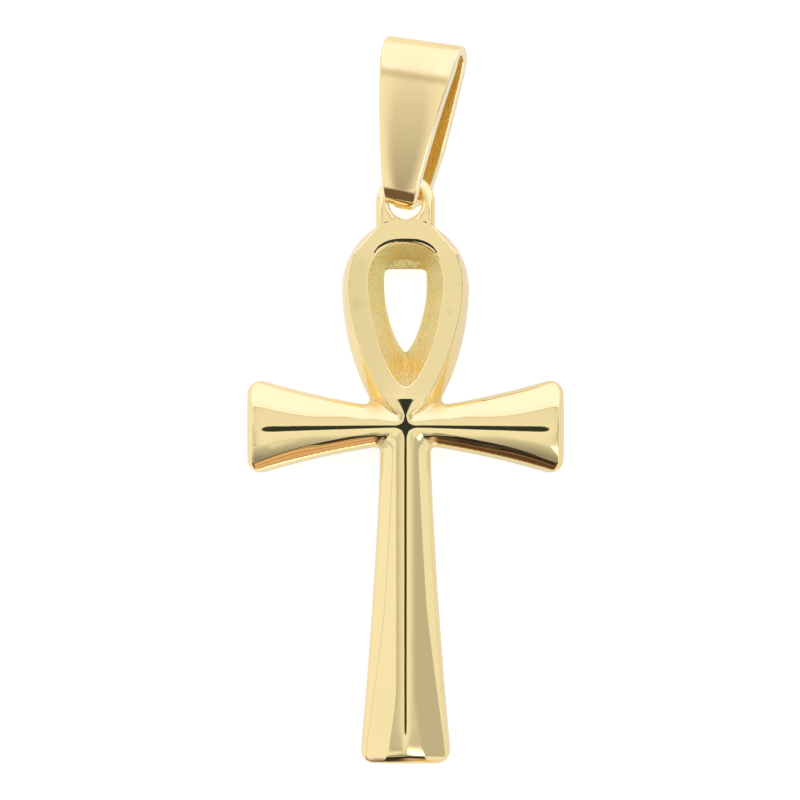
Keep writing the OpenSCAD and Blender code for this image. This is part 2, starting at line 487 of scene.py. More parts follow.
@dataclass(frozen=True)
class CastForm:
    """Height of the casting's top above its back, and its outlines. Sizes in mm from the crossing."""

    arm: Limb
    shaft: Limb
    loop_up: float    # height of the loop's widest place
    crest: float      # of the limbs' highest line
    ridge: float      # of the loop's
    silhouette: Drop = Drop(4.445, 4.8, 10.5, fall=1.9)         # the loop's outer side
    face_edge: Drop = Drop(4.06, 5.6, 9.17)                     # outer edge of its face
    face_top: float = 4.83                                      # where that edge is cut straight
    face_ridge: Drop = Drop(2.66, 3.37, 6.75, square=0.72)      # highest line of the face
    corner_x: float = 1.54         # where the cut at the face's upper corners starts
    corner_up: float = 4.76        # height of that place above the loop's middle
    corner_slope: float = 0.9      # how fast the cut runs outwards as it goes down
    arch_from: float = 2.3         # above this the face slopes both ways from its ridge
    arch_run: float = 0.15
    ridge_blunt: float = 0.03      # rounding of the ridge at the sides
    ridge_blunt_more: float = 0.14  # what it gains above ridge_blunt_from
    ridge_blunt_from: float = 2.4
    ridge_blunt_run: float = 0.6
    inner_fillet: float = 0.35     # radius of the inner corners in plan
    fillet_depth: float = 0.16     # how far their fill carries the shoulders along
    roof_slope: float = 0.123      # slope beside the limbs' crests
    face_slope: float = 0.1        # slope of the loop's face
    flank_slope: float = 0.28      # slope of the limbs' flanks
    crest_blunt: float = 0.21      # rounding of the crests
    crest_blunt_more: float = 0.036  # what it gains for each mm along an arm
    foot_blunt: float = 0.9        # what it gains for each mm before the foot's end
    foot_run: float = 1.0          # where that starts
    crest_droop: float = 0.022     # how much the arms' crest lines sag for each mm
    star_reach: float = 0.74       # width of the blend of the crests at the crossing
    star_less: float = 0.44        # what it loses away from there
    arm_ease: float = 0.07         # how much gentler an arm's flank starts
    arm_bend: float = 0.15         # how much steeper it gets for each mm
    shoulder_slope: float = 0.425  # slope of a shoulder at its crease
    side_slope: float = 0.82       # slope that it comes to beside the rounded side
    side_reach: float = 0.28       # width of that rounding
    side_fall: float = 1.2         # how far the rounding drops
    side_power: float = 2.6        # how flat it stays at first
    loop_fall: float = 1.9         # how far the loop's outer side drops
    loop_bevel: float = 0.5        # share of it that is a straight bevel
    neck_half: float = 0.48        # least half width of the neck's top
    neck_open: float = 0.2         # what it gains for each mm below neck_open_from
    neck_open_from: float = 0.5
    neck_power: float = 1.15       # above one, the neck's top is slightly hollow
    neck_sink: float = 0.15        # how the neck sinks under the face above neck_sink_from
    neck_sink_from: float = 1.9
    neck_side: float = 0.85        # slope of the neck's sides
    face_from: float = 0.9         # where the neck's sides turn into the face's
    face_run: float = 0.8

    def outline(self) -> Outline:
        """Draws the casting's outline, with its inner corners filled to a small radius.

        Returns:
            The closed line.
        """
        flip = np.array([1, -1])
        shaft_end = self.shaft.end()[40:][:, ::-1] * flip
        shaft_side = self.shaft.side()[::-1][:, ::-1] * flip
        arm_low = self.arm.side() * flip
        arm_end = self.arm.end()
        arm_high = self.arm.side()[::-1]
        loop = self.silhouette.right_side(60, 200) + (0, self.loop_up)
        half = rounded_joint(shaft_end, shaft_side, self.shaft.corner)
        half = rounded_joint(half, arm_low, -self.inner_fillet)
        half = rounded_joint(half, arm_end, self.arm.corner)
        half = rounded_joint(half, arm_high, self.arm.corner)
        half = rounded_joint(half, loop, -self.inner_fillet)
        half[0, 0] = 0.0
        half[-1, 0] = 0.0
        return Outline.from_right_half(half, spacing=0.07)

    def loop_line(self, drop: Drop) -> Outline:
        """Draws a teardrop round the loop.

        Args:
            drop: The teardrop. The face's edge has its top cut straight and its upper corners cut off.

        Returns:
            The closed line.
        """
        right = drop.right_side(120, 260) + (0, self.loop_up)
        if drop is self.face_edge:
            right[:, 1] = np.minimum(right[:, 1], self.loop_up + self.face_top)
            cut = self.corner_x + self.corner_slope * (self.loop_up + self.corner_up - right[:, 1])
            right[:, 0] = np.minimum(right[:, 0], cut)
        return Outline.from_right_half(right, spacing=0.05)

    def neck_edge(self, y: np.ndarray) -> np.ndarray:
        """Works out the neck's width between the crossing and the loop.

        Args:
            y: Distance above the crossing.

        Returns:
            Half width of the neck's top.
        """
        below = np.clip((self.loop_up - y) / self.face_edge.down, 0, 1)
        tapered = self.face_edge.half * (1 - below ** self.face_edge.fall) ** self.face_edge.tip_power
        return np.maximum(tapered, self.neck_half + self.neck_open * np.maximum(self.neck_open_from - y, 0))

    def crest_distance(self, x: np.ndarray, y: np.ndarray) -> np.ndarray:
        """Measures the distance from the nearest crest line.

        Args:
            x: Distance to the right of the crossing.
            y: Distance above it.

        Returns:
            The distance, blended where the crests meet in the star.
        """
        arm = np.abs(y)
        neck = self.arm.roof * (np.abs(x) / self.neck_edge(y)) ** self.neck_power
        upright = np.where(y > 0, neck, np.abs(x))
        near = np.minimum(arm, upright)
        reach = self.star_reach - self.star_less * smooth_step((near - 0.2) / 0.4)
        return np.maximum(smooth_min(arm, upright, reach), 0)

    def fall_from_crest(self, x: np.ndarray, y: np.ndarray) -> np.ndarray:
        """Works out the crest's rounding, the roof and the flank beside it.

        Args:
            x: Distance to the right of the crossing.
            y: Distance above it.

        Returns:
            How far the top lies below the crest.
        """
        v = self.crest_distance(x, y)
        drooped = self.crest_distance(x, y + self.crest_droop * hinge(np.abs(x) - 1.5, 0.5))
        on_arm = np.abs(y) < np.abs(x)
        d = np.where(on_arm, np.abs(x), np.abs(y))
        roof = np.where(on_arm, self.arm.roof_half(d), self.shaft.roof_half(d))
        rounding = self.crest_blunt + self.crest_blunt_more * hinge(np.abs(x) - 1.0, 0.5)
        rounding = rounding + self.foot_blunt * hinge(-y - self.shaft.length + self.foot_run, 0.5)
        crest_fall = self.roof_slope * blunt(drooped, rounding)
        past_roof = hinge(v - roof, 0.09)
        return crest_fall + (self.flank_slope - self.roof_slope) * past_roof + self.arm_curve(x, y, past_roof)

    def arm_curve(self, x: np.ndarray, y: np.ndarray, past_roof: np.ndarray) -> np.ndarray:
        """Works out the slight curve across an arm's flank, from its roof to its shoulder.

        Args:
            x: Distance to the right of the crossing.
            y: Distance above it.
            past_roof: Distance from the roof's edge, across the arm.

        Returns:
            How far the curve lies below a straight flank.
        """
        d = np.abs(x)
        wide = np.maximum(self.arm.shoulder_across(d) - self.arm.roof_half(d), 0)
        run = np.minimum(past_roof, wide)
        on_arm = smooth_step((d - np.abs(y) - 0.5) / 1.5)
        return on_arm * run * (0.5 * self.arm_bend * run - self.arm_ease)

    def shoulder(self, limb: Limb, d: np.ndarray, across: np.ndarray, depth: np.ndarray) -> np.ndarray:
        """Fall of a limb's shoulder and side.

        Args:
            limb: The limb.
            d: Distance from the crossing along the limb.
            across: Distance from the limb's middle.
            depth: Distance inside the casting's outline.

        Returns:
            How far the side has fallen below the flank there.
        """
        side, end, own = limb.depths(d, across)
        carried = np.clip(depth - own, 0, self.fillet_depth)
        own = own + carried
        start = limb.shoulder_start(d)
        first = self.shoulder_slope + limb.steeper * smooth_step((d - limb.steeper_from) / limb.steeper_run)
        bend = (self.side_slope - first) / (start - self.side_reach)
        past = hinge(start - side - carried, 0.008)
        shoulder = (first - self.flank_slope) * past + 0.5 * bend * past ** 2
        run = np.maximum(limb.end_run - end, 0) / limb.end_run
        run_down = limb.end_tilt * limb.end_run * run ** 3 / 3
        at_end = smooth_step(0.5 + (side - end) / limb.end_blend)
        reach = self.side_reach + (limb.end_reach - self.side_reach) * at_end
        wall = self.side_fall * bow(1 - own / reach, limb.end_bevel * at_end, self.side_power)
        over = hinge(limb.nose - end, 0.03)
        nose = limb.nose_jump * over + limb.nose_tilt / (2 * limb.nose) * over ** 2
        nose = nose * (1 - limb.nose_ease * np.clip(across / limb.half_width(limb.length), 0, 1) ** 2)
        return shoulder + run_down + wall + nose + OUTSIDE_FALL * np.maximum(-own, 0)

    def head(self, places: np.ndarray, depth: np.ndarray, blended: np.ndarray) -> np.ndarray:
        """Height of the loop and the neck.

        Args:
            places: Points in plan.
            depth: Distance of each inside the casting's outline.
            blended: Height of the crests and roofs there.

        Returns:
            Height above the back, in mm.
        """
        x, y = places.T
        up = y - self.loop_up
        from_ridge = -self.loop_line(self.face_ridge).depth(places)
        over = smooth_step((up - self.arch_from) / self.arch_run)
        more = smooth_step((up - self.ridge_blunt_from) / self.ridge_blunt_run)
        rounding = self.ridge_blunt + self.ridge_blunt_more * more
        face = self.ridge - self.face_slope * (over * blunt(from_ridge, rounding) + (1 - over) * from_ridge)
        neck = blended - self.neck_sink * hinge(y - self.neck_sink_from, 0.2) - 2 * hinge(-y, 0.15)
        top = smooth_max(face, neck, 0.03)
        on_face = smooth_step((y - self.face_from) / self.face_run)
        off_face = hinge(-self.loop_line(self.face_edge).depth(places), 0.035)
        off_neck = hinge(self.neck_side * (np.abs(x) - self.neck_edge(y)), 0.035)
        out = on_face * off_face + (1 - on_face) * off_neck
        own = self.loop_line(self.silhouette).depth(places)
        own = own + np.clip(depth - own, 0, self.fillet_depth)
        share = out / np.maximum(out + np.maximum(own, 0), 1e-6)
        return top - self.loop_fall * bow(share, self.loop_bevel) - OUTSIDE_FALL * np.maximum(-own, 0)

    def height(self, places: np.ndarray, depth: np.ndarray) -> np.ndarray:
        """Height of the casting's top.

        Args:
            places: Points in plan.
            depth: Distance of each inside the outline.

        Returns:
            Height above the back, in mm.
        """
        x, y = places.T
        blended = self.crest - self.fall_from_crest(x, y)
        arm = self.shoulder(self.arm, np.abs(x), np.abs(y), depth)
        shaft = self.shoulder(self.shaft, -y, np.abs(x), depth) + 1.5 * hinge(y - 0.3, 0.15)
        fall = lesser(arm, shaft)
        near = y > -0.5
        to_head = blended[near] - self.head(places[near], depth[near], blended[near])
        fall[near] = np.where(to_head > 0, lesser(fall[near], to_head), to_head)
        return blended - fall


@dataclass(frozen=True)
class WallLevel:
    """One line round the loop's opening: its teardrop, its height in mm and the rings down to it."""

    line: Drop
    height: float
    steps: int


@dataclass
class Shell:
    """Points and faces that are gathered into one mesh, in mm."""

    points: list = field(default_factory=list)
    faces: list = field(default_factory=list)
    finishes: list = field(default_factory=list)
    creases: list = field(default_factory=list)

    def add_ring(self, ring: np.ndarray) -> range:
        """Adds points and returns their indices."""
        start = len(self.points)
        self.points.extend(map(tuple, ring))
        return range(start, start + len(ring))

    def add_face(self, face: tuple, finish: Finish = Finish.POLISHED) -> None:
        """Adds one face."""
        self.faces.append(face)
        self.finishes.append(int(finish))

    def bridge(self, a: range, b: range, finish: Finish = Finish.POLISHED) -> None:
        """Joins two rings of equal length with quads.

        Args:
            a: The first ring.
            b: The ring that the quads lead to. They face left of that way.
            finish: Their finish.
        """
        n = len(a)
        for i in range(n):
            k = (i + 1) % n
            self.add_face((a[i], a[k], b[k], b[i]), finish)

    def plan(self, ring: range) -> Outline:
        """The line of a ring in plan."""
        return Outline(np.array([self.points[i][:2] for i in ring]))

    def cover(self, outer: range, hole: range, more: np.ndarray, up: bool) -> None:
        """Covers the area between two rings with triangles through more points.

        Args:
            outer: Ring round the area.
            hole: Ring round what stays open.
            more: Points that lie between the two.
            up: Whether the cover faces up.
        """
        ids = [*outer, *hole]
        flat = [Vector(self.points[i][:2]) for i in ids] + [Vector(p) for p in more[:, :2]]
        edges = [(i, (i + 1) % len(outer)) for i in range(len(outer))]
        edges += [(len(outer) + i, len(outer) + (i + 1) % len(hole)) for i in range(len(hole))]
        ids += self.add_ring(more)
        made = delaunay_2d_cdt(flat, edges, [], 0, 1e-9)
        source = [orig[0] for orig in made[3]]
        triangles = np.array(made[2])
        middles = np.array([[v.x, v.y] for v in made[0]])[triangles].mean(axis=1)
        inside = (self.plan(outer).depth(middles) > 1e-6) & (self.plan(hole).depth(middles) < 0.001)
        for triangle in triangles[inside]:
            face = tuple(ids[source[i]] for i in triangle)
            self.add_face(face if up else face[::-1])

    def to_object(self, name: str, materials: list) -> bpy.types.Object:
        """Makes a smooth mesh object in metres.

        Args:
            name: Name of the object.
            materials: Materials in the order of the finishes.

        Returns:
            The new object.
        """
        mesh = bpy.data.meshes.new(name)
        mesh.from_pydata([tuple(c * MM for c in p) for p in self.points], [], self.faces)
        for material in materials:
            mesh.materials.append(material)
        mesh.polygons.foreach_set("material_index", self.finishes)
        mesh.shade_smooth()
        sharp = {frozenset(pair) for ring in self.creases for pair in zip(ring, [*ring[1:], ring[0]])}
        for edge in mesh.edges:
            edge.use_edge_sharp = frozenset(edge.vertices) in sharp
        mesh.update()
        return new_object(name, mesh)


@dataclass
class CrossCasting:
    """The cross with its loop, one polished casting with rough walls in its opening. Sizes in mm."""

    crossing_y: float
    form: CastForm
    lip: Drop = Drop(2.59, 2.89, 7.07, fall=1.5, square=0.85, tip_power=0.6)  # edge of the opening
    lip_up: float = 0.21      # how far its widest place is above the loop's
    lip_round: float = 0.13   # width of its rounding
    lip_fall: tuple = ((0.35, 0.025), (0.65, 0.055), (0.85, 0.095), (1.0, 0.15))  # share of that, fall
    lattice: float = 0.09     # spacing of the points on the top
    side_width: float = 0.25  # width of the steep side, which has rings of its own
    side_draft: float = 0.03  # how far the side draws in towards the back
    back_round: float = 0.22  # radius of the edge of the back
    face_rows: tuple = (-0.07, -0.02, 0.03, 0.09)              # rows of points along the face's edge
    shoulder_rows: tuple = (-0.05, -0.0065, 0.0065, 0.05)      # and along the shoulders
    brushed: tuple = (        # centre and half sizes of the places that the wheel did not reach
        (2.15, 1.4, 1.1, 0.85), (-2.15, 1.4, 1.1, 0.85), (1.6, -1.2, 0.5, 0.45), (-1.6, -1.2, 0.5, 0.45),
    )
    scored: tuple = (         # and of the scratched ones
        (-3.3, 8.6, 0.6, 0.55), (-3.0, 11.3, 0.4, 0.5), (3.1, 8.0, 0.2, 0.3),
    )
    walls: tuple = (
        WallLevel(Drop(1.70, 2.03, 5.45, square=0.75), 1.15, 14),
        WallLevel(Drop(1.52, 1.36, 5.25, square=0.27), 0.96, 6),
        WallLevel(Drop(1.49, 1.33, 4.48, square=0.25), 0.12, 4),
        WallLevel(Drop(1.56, 1.40, 4.56, square=0.25), 0.0, 2),
    )

    def side_insets(self) -> list[float]:
        """Distances inside the outline of the rings on the steep side, from the outline inwards."""
        return [float(self.side_width * s ** 2.2) for s in np.linspace(0, 1, 11)]

    def crease_rows(self) -> np.ndarray:
        """Sets rows of points along the creases of the loop and the limbs.

        Returns:
            The points in plan.
        """
        form = self.form
        rows = []
        for drop, insets in ((form.face_edge, self.face_rows), (form.face_ridge, (0.0,))):
            every = Outline(form.loop_line(drop).points[::2])
            rows += [every.inset(inset) for inset in insets]
        for more in self.shoulder_rows:
            along, across = form.arm.shoulder_line(more).T
            rows += [np.stack([sx * along, sy * across], axis=1) for sx in (-1, 1) for sy in (-1, 1)]
            along, across = form.shaft.shoulder_line(more).T
            rows += [np.stack([side * across, -along], axis=1) for side in (-1, 1)]
        return np.concatenate(rows)

    def lattice_points(self, outline: Outline, lip: Outline) -> np.ndarray:
        """Spaces points evenly over the top, half as far apart round the star and up the neck.

        Args:
            outline: The casting's outline.
            lip: Edge of the opening.

        Returns:
            The points in plan, with those on the creases among them.
        """
        step = self.lattice
        clear = 0.55 * step
        grid = grid_of(np.arange(-130, 131) * step, np.arange(-280, 180) * step)
        fine = grid_of(np.arange(-20, 21) * step / 2, np.arange(-30, 52) * step / 2)
        coarse = (np.abs(grid[:, 0]) > 0.9) | (grid[:, 1] < -1.3) | (grid[:, 1] > 2.25)
        grid = np.concatenate([grid[coarse], fine])
        rows = self.crease_rows()
        tree = nearby(rows)
        free = np.array([tree.find((x, y, 0.0))[2] > clear for x, y in grid])
        places = np.concatenate([grid[free], self.spread(rows, clear)])
        inside = outline.depth(places) > self.side_width + clear
        return places[inside & (lip.depth(places) < -clear)]

    @staticmethod
    def spread(places: np.ndarray, cell: float) -> np.ndarray:
        """Leaves out places that come closer together than a quarter of a cell.

        Args:
            places: Points in plan.
            cell: Width of the cells that the plan is divided into.

        Returns:
            The places that are left.
        """
        kept, cells = [], {}
        for p in places:
            i, j = int(p[0] // cell), int(p[1] // cell)
            near = [q for a in (-1, 0, 1) for b in (-1, 0, 1) for q in cells.get((i + a, j + b), [])]
            if all((p[0] - q[0]) ** 2 + (p[1] - q[1]) ** 2 > (0.25 * cell) ** 2 for q in near):
                cells.setdefault((i, j), []).append(p)
                kept.append(p)
        return np.array(kept)

    def lip_line(self, more: float) -> np.ndarray:
        """Draws the opening's edge in plan.

        Args:
            more: How far it is widened.

        Returns:
            One point in each row.
        """
        lip = self.lip
        drop = replace(lip, half=lip.half + more, up=lip.up + more, down=lip.down + more)
        return drop.ring(RING_STEPS) + (0, self.form.loop_up + self.lip_up)

    def add_side(self, shell: Shell, outline: Outline) -> list[range]:
        """Adds the rounded edge of the back and the steep side above it.

        Args:
            shell: Shell that gets them.
            outline: The casting's outline.

        Returns:
            Their rings, from the flat back upwards.
        """
        upper, lower = [], []
        for inset in self.side_insets():
            plan = outline.inset(inset)
            upper.append(lifted(plan, self.form.height(plan, np.full(len(plan), inset))))
        widest = upper[0][:, 2]
        for share in (0.25, 0.5, 0.75, 1.0):
            height = widest + share * (self.back_round - widest)
            lower.append(lifted(outline.inset(self.side_draft * share), height))
        for angle in np.radians((22.5, 45, 67.5, 90)):
            inset = self.side_draft + self.back_round * (1 - math.cos(angle))
            lower.append(lifted(outline.inset(inset), self.back_round * (1 - math.sin(angle))))
        rings = [shell.add_ring(ring) for ring in lower[::-1] + upper]
        for a, b in zip(rings, rings[1:]):
            shell.bridge(a, b)
        return rings

    def add_opening(self, shell: Shell, outline: Outline) -> list[range]:
        """Adds the lip's rounding and the rough walls under it.

        Args:
            shell: Shell that gets them.
            outline: The casting's outline.

        Returns:
            Their rings, from the top downwards.
        """
        edge = self.lip_line(self.lip_round)
        height = self.form.height(edge, outline.depth(edge))
        rings = [shell.add_ring(lifted(edge, height))]
        shell.creases.append(rings[0])
        for share, fall in self.lip_fall:
            above = lifted(self.lip_line(self.lip_round * (1 - share)), height - fall)
            rings.append(shell.add_ring(above))
            shell.bridge(rings[-2], rings[-1])
        for level in self.walls:
            below = lifted(level.line.ring(RING_STEPS) + (0, self.form.loop_up), level.height)
            for k in range(1, level.steps + 1):
                rings.append(shell.add_ring(above + k / level.steps * (below - above)))
                shell.bridge(rings[-2], rings[-1], Finish.CAST)
            above = below
        return rings

    def build(self, polished: bpy.types.Material, cast: bpy.types.Material) -> bpy.types.Object:
        """Builds the casting.

        Args:
            polished: Finish of the outside.
            cast: Finish of the opening's walls.

        Returns:
            The mesh object in its place.
        """
        shell = Shell()
        outline = self.form.outline()
        side = self.add_side(shell, outline)
        opening = self.add_opening(shell, outline)
        places = self.lattice_points(outline, shell.plan(opening[0]))
        top = lifted(places, self.form.height(places, outline.depth(places)))
        shell.cover(side[-1], opening[0], top, up=True)
        back = grid_of(np.arange(-20, 21) * 0.5, np.arange(-46, 28) * 0.5)
        back = back[(outline.depth(back) > 0.6) & (shell.plan(opening[-1]).depth(back) < -0.3)]
        shell.cover(side[0], opening[-1], lifted(back, 0.0), up=False)
        plan = np.array(shell.points)[:, :2]
        shell.points = [(x, y + self.crossing_y, z) for x, y, z in shell.points]
        made = shell.to_object("cross_casting", [polished, cast])
        for name, spots in (("dull", self.brushed), ("worn", self.scored)):
            self.mark(made, name, plan, spots)
        return made

    @staticmethod
    def mark(made: bpy.types.Object, name: str, plan: np.ndarray, spots: tuple) -> None:
        """Writes how strongly soft spots cover each vertex.

        Args:
            made: The casting.
            name: Name of the attribute that the finish reads.
            plan: Places of the vertices in plan.
            spots: Centre and half sizes of each spot.
        """
        cover = np.zeros(len(plan))
        for x, y, rx, ry in spots:
            cover = np.maximum(cover, 1 - np.hypot((plan[:, 0] - x) / rx, (plan[:, 1] - y) / ry))
        values = smooth_step(cover * 2).astype(np.float32)
        made.data.attributes.new(name, "FLOAT", "POINT").data.foreach_set("value", values)


@dataclass
class Eyelet:
    """The small ring cast on the loop's top that holds the bail. Sizes in mm."""

    centre_y: float
    radius: float = 2.07
    hole: float = 1.14
    thickness: float = 0.62
    face: float = 2.56          # height of its face above the table
    edge: float = 0.36          # width of the outer rounding
    edge_fall: float = 0.3      # how far that drops from the face
    back_squash: float = 0.8    # how much flatter it is at the back
    hole_round: float = 0.16
    crown: float = 0.03         # how far the middle of the face stands up
    neck: float = 1.9           # reach of the straight sides, which end inside the loop
    lean: float = 0.08          # slope of the face up towards the loop
    around: int = 120
    nub: float = 0.19
    nubs: tuple = ((-0.8, -1.05), (0.63, -1.15))

    def angles(self) -> np.ndarray:
        """Directions of the points all round, from the bottom."""
        return np.linspace(-math.pi / 2, 1.5 * math.pi, self.around, endpoint=False)

    def outer_line(self, inset: float) -> np.ndarray:
        """Draws the outline in plan: a half circle on straight sides.

        Args:
            inset: How far it is moved inwards.

        Returns:
            One point in each row.
        """
        r, reach = self.radius - inset, self.neck - inset
        points = []
        for a in self.angles():
            x, y = math.cos(a), math.sin(a)
            stretch = min(r / max(abs(x), 1e-9), reach / max(-y, 1e-9)) if y < 0 else r
            points.append((x * stretch, y * stretch))
        return np.array(points)

    def hole_line(self, more: float) -> np.ndarray:
        """The hole in plan, widened by more."""
        a = self.angles()
        return (self.hole + more) * np.stack([np.cos(a), np.sin(a)], axis=1)

    def build(self, polished: bpy.types.Material) -> bpy.types.Object:
        """Builds the eyelet as one closed ring with two beads on its face.

        Args:
            polished: Its finish.

        Returns:
            The mesh object in its place.
        """
        shell = Shell()
        back = self.face - self.thickness
        low = self.face - self.crown
        rings = []

        def ring(line: np.ndarray, z: float, lean: float = self.lean) -> None:
            """Adds a ring at a height that leans with the face."""
            rings.append(shell.add_ring(lifted(line + (0, self.centre_y), z - lean * line[:, 1])))

        quarter = [(math.cos(a), math.sin(a)) for a in np.linspace(0, math.pi / 2, 7)]
        for c, s in quarter:
            ring(self.outer_line(self.edge * (1 - s)), back + self.edge * (1 - c) * self.back_squash, 0)
        for c, s in quarter[1:]:
            z = self.face - self.edge_fall + (self.edge_fall - self.crown) * s
            ring(self.outer_line(self.edge * (1 - c)), z)
        outer, inner = self.outer_line(self.edge), self.hole_line(self.hole_round)
        for share in (0.25, 0.5, 0.75):
            ring(outer + share * (inner - outer), low + self.crown * math.sin(math.pi * share))
        for c, s in quarter:
            ring(self.hole_line(self.hole_round * (1 - s)), low - self.hole_round * (1 - c))
        for c, s in quarter:
            ring(self.hole_line(self.hole_round * (1 - c)), back + self.hole_round * (1 - s), 0)
        for a, b in zip(rings, rings[1:] + rings[:1]):
            shell.bridge(a, b)
        for x, y in self.nubs:
            self.add_nub(shell, x, self.centre_y + y)
        return shell.to_object("eyelet", [polished])

    def add_nub(self, shell: Shell, x: float, y: float) -> None:
        """Adds a small cast bead as a closed ball, sunk half into the face.

        Args:
            shell: Shell that gets it.
            x: Place of its middle across the pendant.
            y: Place of its middle along the pendant.
        """
        bead = bmesh.new()
        bmesh.ops.create_icosphere(bead, subdivisions=3, radius=self.nub)
        start = len(shell.points)
        shell.points.extend((v.co.x + x, v.co.y + y, v.co.z + self.face) for v in bead.verts)
        for face in bead.faces:
            shell.add_face(tuple(start + v.index for v in face.verts))
        bead.free()


@dataclass(frozen=True)
class BeltPoint:
    """One point of the bail's folded line: place along it, offset, and its two handles, in mm."""

    along: float
    offset: float
    before: tuple[float, float]
    after: tuple[float, float]


